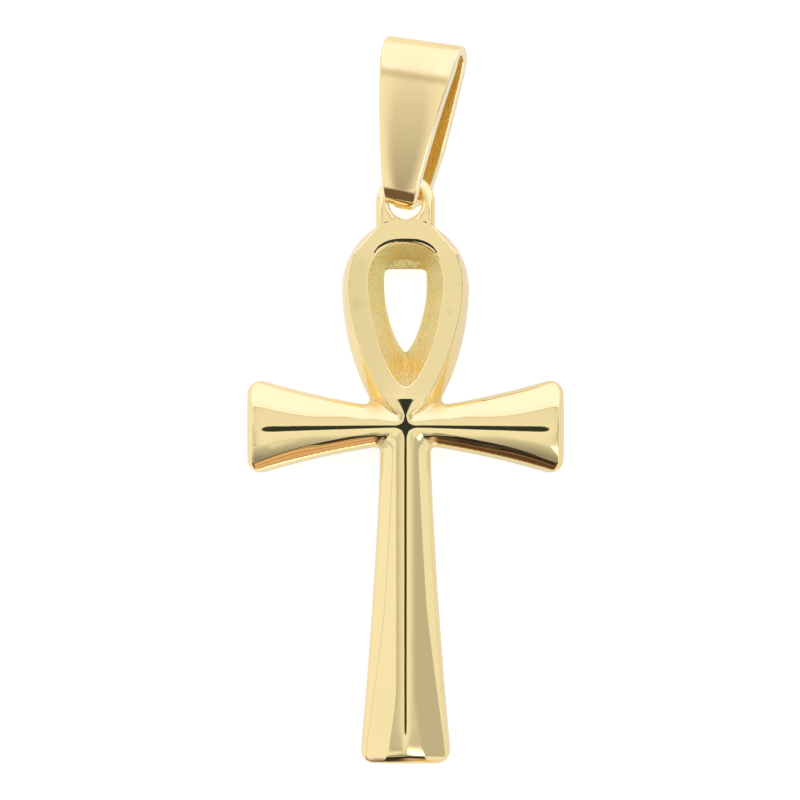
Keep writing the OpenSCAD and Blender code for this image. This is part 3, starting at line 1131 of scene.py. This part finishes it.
@dataclass
class Bail:
    """The folded band that hangs the pendant, swept round a belt line by Geometry Nodes. Sizes in mm."""

    foot: Vector
    # The inner side's finish: satin gold whose deeper orange is painted shade, for the light reflected inside
    # the fold.
    satin_and_shade: bpy.types.Material
    # The edges' finish: a paler gold, which is a painted highlight.
    edge_highlight: bpy.types.Material
    thickness: float = 0.7
    edge: float = 0.19           # radius of the band's edges
    edge_width: float = 0.1      # how far from the edges the paler gold, a painted highlight, reaches
    fold_width: float = 1.3      # least width, at the fold in the eyelet
    fold_reach: float = 0.95     # how far from there it is that narrow
    fold_widening: float = 1.4   # what it gains for each mm beyond that
    foot_width: float = 2.17     # width that the panels would have at the fold
    widening: float = 0.336      # what they gain for each mm
    top_width: float = 5.65      # greatest width
    stock: float = 6.0           # width of the band before it is shaped
    drop: float = 0.45           # how far the fold hangs below the middle of the eyelet
    rise: float = 4.2            # degrees that the band is tipped up
    lean: float = 7.2            # degrees that it is turned in plan
    twist: float = 19.0          # degrees that it is rolled about its length
    belt: tuple = (
        BeltPoint(0.35, 0.0, (0.35, -0.78), (0.35, 0.78)),
        BeltPoint(1.585, 1.399, (0.92, 1.316), (4.56, 1.771)),
        BeltPoint(10.81, 0.926, (7.90, 1.592), (11.29, 0.816)),
        BeltPoint(11.55, 0.0, (11.55, 0.50), (11.55, -0.50)),
        BeltPoint(10.70, -0.944, (11.2, -0.888), (8.8, -1.158)),
        BeltPoint(4.4, -1.65, (5.5, -1.65), (3.6, -1.65)),
        BeltPoint(1.63, -1.405, (2.3, -1.466), (0.9, -1.339)),
    )

    def pose(self) -> Matrix:
        """Turns the straight bail as it lies in the eyelet.

        Returns:
            The way from the band's own millimetres to the scene's metres.
        """
        lean = Matrix.Rotation(math.radians(-self.lean), 4, "Z")
        rise = Matrix.Rotation(math.radians(self.rise), 4, "X")
        twist = Matrix.Rotation(math.radians(-self.twist), 4, "Y")
        drop = Matrix.Translation((0, -self.drop, 0))
        return Matrix.Scale(MM, 4) @ Matrix.Translation(self.foot) @ lean @ rise @ drop @ twist

    def belt_line(self) -> bpy.types.Object:
        """Draws the belt as a closed Bezier curve, its offsets along Y.

        Returns:
            The curve object.
        """
        curve = bpy.data.curves.new("belt", "CURVE")
        curve.dimensions = "3D"
        spline = curve.splines.new("BEZIER")
        spline.bezier_points.add(len(self.belt) - 1)
        spline.use_cyclic_u = True
        spline.resolution_u = 64
        for point, spec in zip(spline.bezier_points, self.belt):
            point.handle_left_type = point.handle_right_type = "FREE"
            point.co = (spec.along, spec.offset, 0)
            point.handle_left = (*spec.before, 0)
            point.handle_right = (*spec.after, 0)
        return new_object("belt", curve)

    def tree(self, polished: bpy.types.Material) -> bpy.types.NodeTree:
        """Builds the node tree that sweeps the band.

        Args:
            polished: Finish of its outside.

        Returns:
            The tree, with a named input for the belt and for each size.
        """
        tree = bpy.data.node_groups.new("bail_band", "GeometryNodeTree")
        tree.interface.new_socket("Belt", in_out="INPUT", socket_type="NodeSocketObject")
        sizes = {
            "Thickness": self.thickness, "Edge Radius": self.edge, "Fold Width": self.fold_width,
            "Fold Reach": self.fold_reach, "Fold Widening": self.fold_widening,
            "Foot Width": self.foot_width, "Widening": self.widening, "Top Width": self.top_width,
        }
        for name, value in sizes.items():
            socket = tree.interface.new_socket(name, in_out="INPUT", socket_type="NodeSocketFloat")
            socket.default_value = value
        tree.interface.new_socket("Band", in_out="OUTPUT", socket_type="NodeSocketGeometry")
        add = partial(add_node, tree)
        inputs = add("NodeGroupInput").outputs
        belt = add("GeometryNodeObjectInfo", {"Object": inputs["Belt"]}).outputs["Geometry"]
        even = add("GeometryNodeResampleCurve", {"Curve": belt, "Count": 420})
        level = add("GeometryNodeSetCurveNormal", (even,), mode="Z_UP")
        section = add("GeometryNodeCurvePrimitiveQuadrilateral", {
            "Width": inputs["Thickness"], "Height": self.stock})
        soft = add("GeometryNodeFilletCurve", {
            "Curve": section, "Radius": inputs["Edge Radius"], "Count": 7}, mode="POLY")

        # How deep in the stock and how far across it each point starts, which tells its finish later.
        kept = add("GeometryNodeCaptureAttribute", (soft,))
        for name, socket in zip(("Depth", "Reach"), add(PARTS, (add("GeometryNodeInputPosition"),)).outputs):
            kept.capture_items.new("FLOAT", name)
            tree.links.new(socket, kept.inputs[name])
        band = add("GeometryNodeCurveToMesh", (level, kept))

        # The width comes from the panels' taper, held to the greatest width and drawn in at the fold.
        along, offset, side = add(PARTS, (add("GeometryNodeInputPosition"),)).outputs
        offset_size, side_size = (add(MATHS, (socket,), operation="ABSOLUTE") for socket in (offset, side))
        from_fold = add(MATHS, (offset_size, 0.9, along), operation="MULTIPLY_ADD")
        past_fold = add(MATHS, (from_fold, inputs["Fold Reach"]), operation="SUBTRACT")
        past_fold = add(MATHS, (past_fold, 0.0), operation="MAXIMUM")
        at_fold = (past_fold, inputs["Fold Widening"], inputs["Fold Width"])
        at_fold = add(MATHS, at_fold, operation="MULTIPLY_ADD")
        panel = add(MATHS, (along, inputs["Widening"], inputs["Foot Width"]), operation="MULTIPLY_ADD")
        panel = add(MATHS, (panel, inputs["Top Width"], 0.3), operation="SMOOTH_MIN")
        wide = add(MATHS, (panel, at_fold, 0.4), operation="SMOOTH_MIN")
        from_edge = add(MATHS, (side_size, self.stock / 2), operation="SUBTRACT")
        reach = add(MATHS, (wide, 0.5, from_edge), operation="MULTIPLY_ADD")
        across = add(MATHS, (add(MATHS, (side,), operation="SIGN"), reach), operation="MULTIPLY")
        turned = add("ShaderNodeCombineXYZ", (across, along, offset))
        shaped = add("GeometryNodeSetPosition", {"Geometry": band, "Position": turned})
        real = add("GeometryNodeRealizeInstances", (add("GeometryNodeSetShadeSmooth", (shaped,)),))

        inner = add(MATHS, (inputs["Thickness"], 0.45), operation="MULTIPLY")
        inside = add(MATHS, (kept.outputs["Depth"], inner), operation="GREATER_THAN")
        reach = add(MATHS, (kept.outputs["Reach"],), operation="ABSOLUTE")
        at_edge = add(MATHS, (reach, self.stock / 2 - self.edge_width), operation="GREATER_THAN")
        dressed = add(FINISH, {0: real, "Material": polished})
        # The inner side takes the satin gold, whose deeper orange is painted shade, and the edges take the
        # paler gold, a painted highlight.
        for chosen, finish in ((inside, self.satin_and_shade), (at_edge, self.edge_highlight)):
            dressed = add(FINISH, {0: dressed, "Selection": chosen, "Material": finish})
        add("NodeGroupOutput", (dressed,))
        return tree

    def build(self, polished: bpy.types.Material) -> bpy.types.Object:
        """Sweeps the band and lays it in the eyelet.

        Args:
            polished: Finish of its outside.

        Returns:
            The mesh object in its place.
        """
        belt = self.belt_line()
        seed = new_object("bail_seed", bpy.data.meshes.new("bail_seed"))
        modifier = seed.modifiers.new("band", "NODES")
        modifier.node_group = self.tree(polished)
        modifier[modifier.node_group.interface.items_tree["Belt"].identifier] = belt
        mesh = bpy.data.meshes.new_from_object(seed.evaluated_get(bpy.context.evaluated_depsgraph_get()))
        seed.modifiers.remove(modifier)
        bpy.data.objects.remove(seed)
        bpy.data.objects.remove(belt)
        mesh.transform(self.pose())
        edit = bmesh.new()
        edit.from_mesh(mesh)
        bmesh.ops.recalc_face_normals(edit, faces=edit.faces)
        edit.to_mesh(mesh)
        edit.free()
        mesh.name = "bail_band"
        return new_object("bail_band", mesh)


@dataclass(frozen=True)
class Relief:
    """Noise in a metal's surface, sizes in mm."""

    size: float                 # of a grain
    depth: float
    detail: float
    drawn: tuple = (1, 1, 1)    # how many times a grain is drawn out along each axis
    at: str = ""                # attribute that says where it shows, or nothing for everywhere


def bare_metal(name: str) -> tuple[bpy.types.Material, bpy.types.bpy_prop_collection]:
    """Makes a metal material without a colour.

    Args:
        name: Its name.

    Returns:
        The material and the inputs of its shader.
    """
    made = bpy.data.materials.new(name)
    made.use_nodes = True
    inputs = made.node_tree.nodes["Principled BSDF"].inputs
    inputs["Metallic"].default_value = 1.0
    return made, inputs


@dataclass(frozen=True)
class PolishedGold:
    """18-carat yellow gold, buffed with rouge. It gives the eye a crisp mirror with faint wheel marks."""

    name: str = "polished_yellow_gold"
    colour: str = "#fce7ab"
    roughness: float = 0.04
    dull_more: float = 0.36     # what a brushed place adds to the roughness
    reliefs: tuple = (
        Relief(1.1, 0.0022, 1.0),                     # soft waves that the wheel leaves
        Relief(0.16, 0.00025, 2.0),                   # the rouge's marks, which vary the gloss too
        Relief(0.09, 0.05, 3.0, (1, 9, 1), "dull"),   # strokes of a brush where the wheel did not reach
        Relief(0.07, 0.009, 3.0, (12, 1, 1), "worn"),  # a few scratches, coarser than the real ones
    )

    def material(self) -> bpy.types.Material:
        """Makes the material: mirror gold, dulled where the wheel could not reach.

        Returns:
            The material.
        """
        made, inputs = bare_metal(self.name)
        inputs["Base Color"].default_value = srgb(self.colour)
        add = partial(add_node, made.node_tree)
        where = add(PLACE).outputs["Object"]
        shares = {
            name: add("ShaderNodeAttribute", attribute_name=name).outputs["Fac"] for name in ("dull", "worn")}
        noises, normal = [], {}
        for relief in self.reliefs:
            scale = tuple(1 / d for d in relief.drawn)
            drawn = add("ShaderNodeMapping", {"Vector": where, "Scale": scale}, vector_type="POINT")
            grains = {"Vector": drawn, "Scale": 1 / (relief.size * MM), "Detail": relief.detail}
            noises.append(add(NOISE, grains))
            bump = {
                "Height": noises[-1], "Distance": relief.depth * MM,
                "Strength": shares.get(relief.at, 1.0), **normal}
            normal = {"Normal": add("ShaderNodeBump", bump)}
        rough = add(RANGE, (noises[1], 0.35, 0.7, self.roughness * 0.7, self.roughness * 1.4))
        rougher = add(MATHS, (shares["dull"], self.dull_more, rough), operation="MULTIPLY_ADD")
        for name, node in {"Roughness": rougher, **normal}.items():
            made.node_tree.links.new(node.outputs[0], inputs[name])
        return made


@dataclass(frozen=True)
class CastGold:
    """The same gold as it left the mould. It gives the eye a soft satin glow with fine, warm grain."""

    name: str = "as_cast_yellow_gold"
    colour: str = "#f7edb2"
    warm_colour: str = "#ffe99c"
    warm_mm: float = 1.7          # size of the warmer patches
    roughness: float = 0.44
    grain_mm: float = 0.13
    grain_depth_mm: float = 0.2

    def material(self) -> bpy.types.Material:
        """Makes the material: satin gold whose streaks run down the opening's walls.

        Returns:
            The material.
        """
        made, inputs = bare_metal(self.name)
        add = partial(add_node, made.node_tree)
        where = add(PLACE).outputs["Object"]
        patches = add(NOISE, {"Vector": where, "Scale": 1 / (self.warm_mm * MM), "Detail": 2.0})
        warmth = add(RANGE, (patches, 0.38, 0.6))
        tint = add(MIX, {0: warmth, 6: srgb(self.colour), 7: srgb(self.warm_colour)}, data_type="RGBA")
        drawn = add("ShaderNodeMapping", {"Vector": where, "Scale": (1, 0.3, 1)}, vector_type="POINT")
        grain = add(NOISE, {"Vector": drawn, "Scale": 1 / (self.grain_mm * MM), "Detail": 4.0})
        gloss = add(RANGE, (grain, 0.35, 0.62, self.roughness * 1.15, self.roughness * 0.6))
        bump = add("ShaderNodeBump", {
            "Height": grain, "Distance": self.grain_depth_mm * MM, "Strength": 0.9})
        feeds = {"Base Color": tint.outputs[2], "Roughness": gloss.outputs[0], "Normal": bump.outputs[0]}
        for name, socket in feeds.items():
            made.node_tree.links.new(socket, inputs[name])
        return made


DARK = (0.033, 0.042, 0.041)   # the camera's own reflection
BROWN = (0.10, 0.055, 0.035)   # gaps between the warm reflectors
ORANGE = (0.86, 0.58, 0.36)    # the warm reflectors


@dataclass(frozen=True)
class Spot:
    """A soft spot in the tent of light, its place and sizes in slope."""

    x: float
    y: float
    inner: float            # within this it is whole
    outer: float            # and outside this it is gone
    strength: float = 1.0
    narrow: float = 1.0     # how many times narrower than high it is
    lean: float = 0.0


@dataclass
class Studio:
    """A white table under a pale tent of light, seen by a camera straight above. Sizes in mm.

    The tent is a sky. A direction in it is told by the slope of a surface that would reflect it straight
    up to the camera. Each field below that is named for a side of the picture says how bright the tent is
    there: stops of slope against one brightness, or against red, green and blue.
    """

    lens: float = 600.0
    sensor: float = 36.0
    level: float = 1.6       # height at which the photograph's scale holds
    table: float = 4000.0
    north: tuple = (         # a cool, bright sheet above the pendant
        (0.040, DARK), (0.047, 0.92), (0.12, 0.88), (0.150, 0.82), (0.162, 0.50), (0.170, (1.10, 1.08, 1.20)),
        (0.28, (1.30, 1.20, 1.50)), (0.8, (1.30, 1.18, 1.45)), (1.0, 1.0),
    )
    south_east: tuple = (    # below it grey, then black, then warm reflectors
        (0.040, DARK), (0.047, 0.96), (0.13, 0.87), (0.20, 0.72), (0.25, 0.58), (0.33, 0.36), (0.39, 0.23),
        (0.40, 0.04), (0.50, 0.05), (0.515, BROWN), (0.535, ORANGE), (0.55, (0.70, 0.42, 0.24)),
        (0.56, BROWN), (0.575, ORANGE), (0.63, (0.80, 0.52, 0.34)), (0.645, (0.30, 0.16, 0.09)),
        (0.66, (0.74, 0.48, 0.30)), (0.77, (0.72, 0.46, 0.30)), (0.785, BROWN), (0.81, 1.5), (0.94, 1.5),
        (0.97, 1.0),
    )
    south_west: tuple = (    # the same with a thin lamp and darker reflectors
        (0.040, DARK), (0.047, 0.98), (0.13, 0.92), (0.20, 0.72), (0.25, 0.54), (0.33, 0.31), (0.375, 0.24),
        (0.38, 0.95), (0.395, 0.95), (0.40, 0.02), (0.55, 0.03), (0.56, (0.14, 0.08, 0.045)),
        (0.575, 0.03), (0.63, 0.03), (0.65, BROWN), (0.67, (0.30, 0.18, 0.10)), (0.70, BROWN),
        (0.80, (0.13, 0.075, 0.05)), (0.83, (0.42, 0.27, 0.17)), (0.86, BROWN), (0.92, (0.72, 0.54, 0.40)),
        (1.0, (1.0, 0.84, 0.66)),
    )
    west: tuple = (          # plain walls, dimmer where they meet the ceiling
        (0.040, DARK), (0.047, 0.90), (0.10, 0.82), (0.123, 0.61), (0.155, 0.58), (0.165, 0.55), (0.18, 0.92),
        (0.26, 0.96), (0.30, (0.97, 0.96, 1.02)), (1.0, 0.98),
    )
    east: tuple = (          # the same, with a wider dim part
        (0.040, DARK), (0.047, 0.94), (0.10, 0.88), (0.123, 0.64), (0.20, 0.57), (0.39, 0.52), (0.41, 0.92),
        (0.8, 0.92), (0.9, 0.78), (1.0, 0.74),
    )
    lamp: Spot = Spot(0.13, -0.21, 0.05, 0.12, strength=2.0)
    screen: Spot = Spot(-0.345, -0.02, 0.13, 0.30, narrow=4.2, lean=0.11)     # a brown one, on the left
    corner: Spot = Spot(-0.43, -0.75, 0.44, 0.60, narrow=2.6, strength=0.95)  # the far, dark one
    screen_colour: tuple = (0.12, 0.06, 0.01, 1)
    seam_colour: tuple = (0.32, 0.30, 0.18, 1)
    corner_colour: tuple = (0.13, 0.07, 0.04, 1)
    seam_strength: float = 0.4
    table_colour: str = "#b9b9b7"

    def camera(self) -> None:
        """Sets the camera above the photograph's centre."""
        data = bpy.data.cameras.new("camera")
        data.lens = self.lens
        data.sensor_width = self.sensor
        away = PHOTO_FIELD * self.lens / self.sensor
        data.clip_start = 10 * MM
        data.clip_end = 10 * away * MM
        made = new_object("camera", data)
        made.location = (PHOTO_AIM[0] * MM, PHOTO_AIM[1] * MM, (self.level + away) * MM)
        bpy.context.scene.camera = made

    def floor(self) -> None:
        """Lays the white table under the pendant. What the gold mirrors of it is brighter on the left."""
        mesh = bpy.data.meshes.new("table")
        s = self.table * MM / 2
        mesh.from_pydata([(-s, -s, 0), (s, -s, 0), (s, s, 0), (-s, s, 0)], [], [(0, 1, 2, 3)])

        # White card, matt. It gives the eye an even white ground without a shadow.
        finish = bpy.data.materials.new("white_table")
        finish.use_nodes = True
        add = partial(add_node, finish.node_tree)
        inputs = finish.node_tree.nodes["Principled BSDF"].inputs
        inputs["Base Color"].default_value = srgb(self.table_colour)
        inputs["Roughness"].default_value = 0.7
        inputs["Emission Color"].default_value = WHITE
        seen = add("ShaderNodeLightPath").outputs["Is Camera Ray"]
        rightwards = add(PARTS, (add(PLACE).outputs["Object"],))
        lit = add(RANGE, (rightwards, 0.0, 5 * MM, 0.49, 0.40), **SOFT)
        glow = add(MIX, {0: seen, 2: lit, 3: 0.74})
        finish.node_tree.links.new(glow.outputs[0], inputs["Emission Strength"])
        mesh.materials.append(finish)
        new_object("table", mesh)

    @staticmethod
    def fields(tree: bpy.types.NodeTree, slope: bpy.types.Node, sides: tuple) -> list[bpy.types.Node]:
        """Tells the brightness of some sides.

        Args:
            tree: Node tree of the sky.
            slope: The slope that is asked for.
            sides: Stops of each side.

        Returns:
            The colour of each side there.
        """
        made = []
        for stops in sides:
            made.append(add_node(tree, "ShaderNodeValToRGB", (slope,)))
            elements = made[-1].color_ramp.elements
            elements.remove(elements[0])
            for i, (at, light) in enumerate(stops):
                element = elements.new(at) if i else elements[0]
                element.position = at
                element.color = (*light, 1) if isinstance(light, tuple) else (light, light, light, 1)
        return made

    @staticmethod
    def away(tree: bpy.types.NodeTree, dx: bpy.types.Node, dy: bpy.types.Node) -> bpy.types.Node:
        """Length of a way in plan."""
        squares = [add_node(tree, MATHS, (d, d), operation="MULTIPLY") for d in (dx, dy)]
        return add_node(tree, MATHS, (add_node(tree, MATHS, squares, operation="ADD"),), operation="SQRT")

    @staticmethod
    def between(tree: bpy.types.NodeTree, ends: tuple, share: bpy.types.Node) -> bpy.types.Node:
        """Finds a value between two.

        Args:
            tree: Node tree of the sky.
            ends: The two values.
            share: Share of the way from the first to the second.

        Returns:
            The value there.
        """
        whole = add_node(tree, MATHS, ends[::-1], operation="SUBTRACT")
        part = add_node(tree, MATHS, (share, whole), operation="MULTIPLY")
        return add_node(tree, MATHS, (ends[0], part), operation="ADD")

    def spot(self, tree: bpy.types.NodeTree, way: list, spot: Spot) -> bpy.types.Node:
        """Tells how strongly a soft spot in the sky covers a direction.

        Args:
            tree: Node tree of the sky.
            way: The direction, to the right and up the picture.
            spot: The spot.

        Returns:
            One in its middle and zero outside it, times its strength.
        """
        add = partial(add_node, tree)
        lean = add(MATHS, (way[1], spot.lean), operation="MULTIPLY")
        dx = add(MATHS, (add(MATHS, (way[0], lean), operation="SUBTRACT"), spot.x), operation="SUBTRACT")
        dx = add(MATHS, (dx, spot.narrow), operation="MULTIPLY")
        dy = add(MATHS, (way[1], spot.y), operation="SUBTRACT")
        cover = add(RANGE, (self.away(tree, dx, dy), spot.inner, spot.outer, 1.0, 0.0), **SOFT)
        return add(MATHS, (cover, spot.strength), operation="MULTIPLY")

    def sky(self, tree: bpy.types.NodeTree) -> bpy.types.NodeSocket:
        """Puts the sides together and adds the lamp, the screen, the seam and the dark corner.

        Args:
            tree: Node tree of the sky.

        Returns:
            The colour of the tent in each direction.
        """
        add = partial(add_node, tree)
        across, up, out = add(PARTS, (add(PLACE).outputs["Generated"],)).outputs
        under = add(MATHS, (add(MATHS, (out, 1.0), operation="ADD"), 0.01), operation="MAXIMUM")
        px, py = way = [add(MATHS, (part, under), operation="DIVIDE") for part in (across, up)]
        slope = self.away(tree, px, py)
        safe = add(MATHS, (slope, 0.0001), operation="MAXIMUM")
        cx, cy = (add(MATHS, (part, safe), operation="DIVIDE") for part in way)
        north, south_east, south_west, west, east = self.fields(
            tree, slope, (self.north, self.south_east, self.south_west, self.west, self.east))
        pairs = []
        for half, left, right in ((0.14, south_west, south_east), (0.15, west, east)):
            rightwards = add(RANGE, (cx, -half, half), **SOFT)
            pairs.append(add(MIX, {0: rightwards, 6: left, 7: right}, data_type="RGBA").outputs[2])
        south, sides = pairs

        # Gentle slopes pass softly from side to side, and steep ones along crisp lines.
        steep = add(RANGE, (slope, 0.125, 0.16), **SOFT)
        tilted = add(MATHS, (py, add(MATHS, (px, 0.2), operation="MULTIPLY")), operation="ADD")
        off_band = add(RANGE, (px, -0.25, -0.2), **SOFT)
        above = add(MATHS, (add(RANGE, (tilted, 0.081, 0.096), **SOFT), off_band), operation="MAXIMUM")
        crisp = add(MATHS, (add(RANGE, (cy, 0.37, 0.42), **SOFT), above), operation="MINIMUM")
        to_north = self.between(tree, (add(RANGE, (cy, -0.1, 0.85), **SOFT), crisp), steep)
        off_south = self.between(tree, tuple(
            add(RANGE, (cy, *ends), **SOFT) for ends in ((-1.0, -0.45), (-0.95, -0.87))), steep)
        total = add(MIX, {0: to_north, 6: sides, 7: north}, data_type="RGBA").outputs[2]
        total = add(MIX, {0: off_south, 6: south, 7: total}, data_type="RGBA").outputs[2]
        lamp, screen, corner = (self.spot(tree, way, spot) for spot in (self.lamp, self.screen, self.corner))
        total = add("ShaderNodeVectorMath", (total, lamp), operation="ADD").outputs[0]

        # The screen is stronger below, and the seam runs where the walls meet the sheet, above the left.
        falloff = add(RANGE, (py, -0.20, 0.16, 0.64, 0.12))
        off_seam = add(MATHS, (add(MATHS, (tilted, 0.084), operation="SUBTRACT"),), operation="ABSOLUTE")
        on_band = add(MATHS, (1.0, off_band), operation="SUBTRACT")
        seam = add(MATHS, (add(RANGE, (off_seam, 0.022, 0.004), **SOFT), on_band), operation="MULTIPLY")
        shades = (
            (add(MATHS, (screen, falloff), operation="MULTIPLY"), self.screen_colour),
            (add(MATHS, (seam, self.seam_strength), operation="MULTIPLY"), self.seam_colour),
            (corner, self.corner_colour),
        )
        for share, colour in shades:
            total = add(MIX, {0: share, 6: total, 7: colour}, data_type="RGBA").outputs[2]
        return total

    def light(self) -> None:
        """Hangs the tent of light, which the camera itself sees as plain white."""
        world = bpy.data.worlds.new("light_tent")
        bpy.context.scene.world = world
        world.use_nodes = True
        tree = world.node_tree
        seen = add_node(tree, "ShaderNodeLightPath").outputs["Is Camera Ray"]
        shown = add_node(tree, MIX, {0: seen, 6: self.sky(tree), 7: WHITE}, data_type="RGBA").outputs[2]
        tree.links.new(shown, tree.nodes["Background"].inputs["Color"])
        tree.nodes["Background"].inputs["Strength"].default_value = 1.0

    def build(self) -> None:
        """Sets the camera, the table and the light."""
        self.camera()
        self.floor()
        self.light()
        bpy.context.scene.view_settings.view_transform = "Standard"


def cast_form(high: Vector, shaft_length: float) -> CastForm:
    """Gives the casting its measures.

    Args:
        high: Highest corner of the cross solid's box, in mm.
        shaft_length: Distance of the crossing from the foot.

    Returns:
        The form, which fills the box.
    """
    arm = Limb(
        high.x, 1.16, 0.119, 0.0089, roof=0.66, roof_more=0.95, roof_from=6.0, end_run=1.95,
        end_tilt=0.18, end_reach=0.36, end_bevel=0.2, shoulder=1.04, shoulder_more=-0.08,
        shoulder_at=8.0, steeper=0.1)
    shaft = Limb(
        shaft_length, 1.7, 0.0355, 0.00128, roof=0.67, roof_more=0.8, roof_from=18.0, end_run=2.9,
        end_tilt=0.33, end_reach=0.15, nose=0.66, nose_jump=0.08, nose_tilt=0.5, shoulder=0.88,
        shoulder_more=-0.052, shoulder_at=13.0)
    return CastForm(arm, shaft, loop_up=9.7, crest=high.z - 0.1, ridge=high.z)


def main() -> None:
    """Builds the studio and each piece, and fastens the pieces to the frame."""
    logging.basicConfig(level=logging.INFO, format="%(name)s: %(message)s")
    Studio().build()
    low, high = (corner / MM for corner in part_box("cross"))
    shaft_length = 23.6
    crossing_y = low.y + shaft_length
    eyelet_y = high.y - Eyelet.radius
    polished = PolishedGold().material()
    cast = CastGold().material()

    # The bail's outside is a shade paler. Its hidden side is fine satin in a deeper orange gold, painted
    # shade for the warm light reflected inside the fold, and its edges are a paler gold, a painted highlight.
    band = PolishedGold("polished_yellow_gold_band", "#fbe6a9").material()
    satin_and_shade = CastGold(
        "satin_and_shade_yellow_gold", "#f3d67e", "#f3d276", roughness=0.42, grain_depth_mm=0.05).material()
    edge_highlight = PolishedGold("highlight_yellow_gold_edge", "#fff3cc", roughness=0.12).material()
    casting = CrossCasting(crossing_y, cast_form(high, shaft_length))
    pieces = [
        (casting.build(polished, cast), "cross", Slot.CASTING),
        (Eyelet(eyelet_y).build(polished), "cross", Slot.CASTING),
        (Bail(Vector((0, eyelet_y, 2.18)), satin_and_shade, edge_highlight).build(band), "bail", Slot.BAND),
    ]
    for piece, node, slot in pieces:
        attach(piece, "root")
        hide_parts(node)
        log.info("%s: %d points, %d faces", piece.name, len(piece.data.vertices), len(piece.data.polygons))


if __name__ == "__main__":
    main()
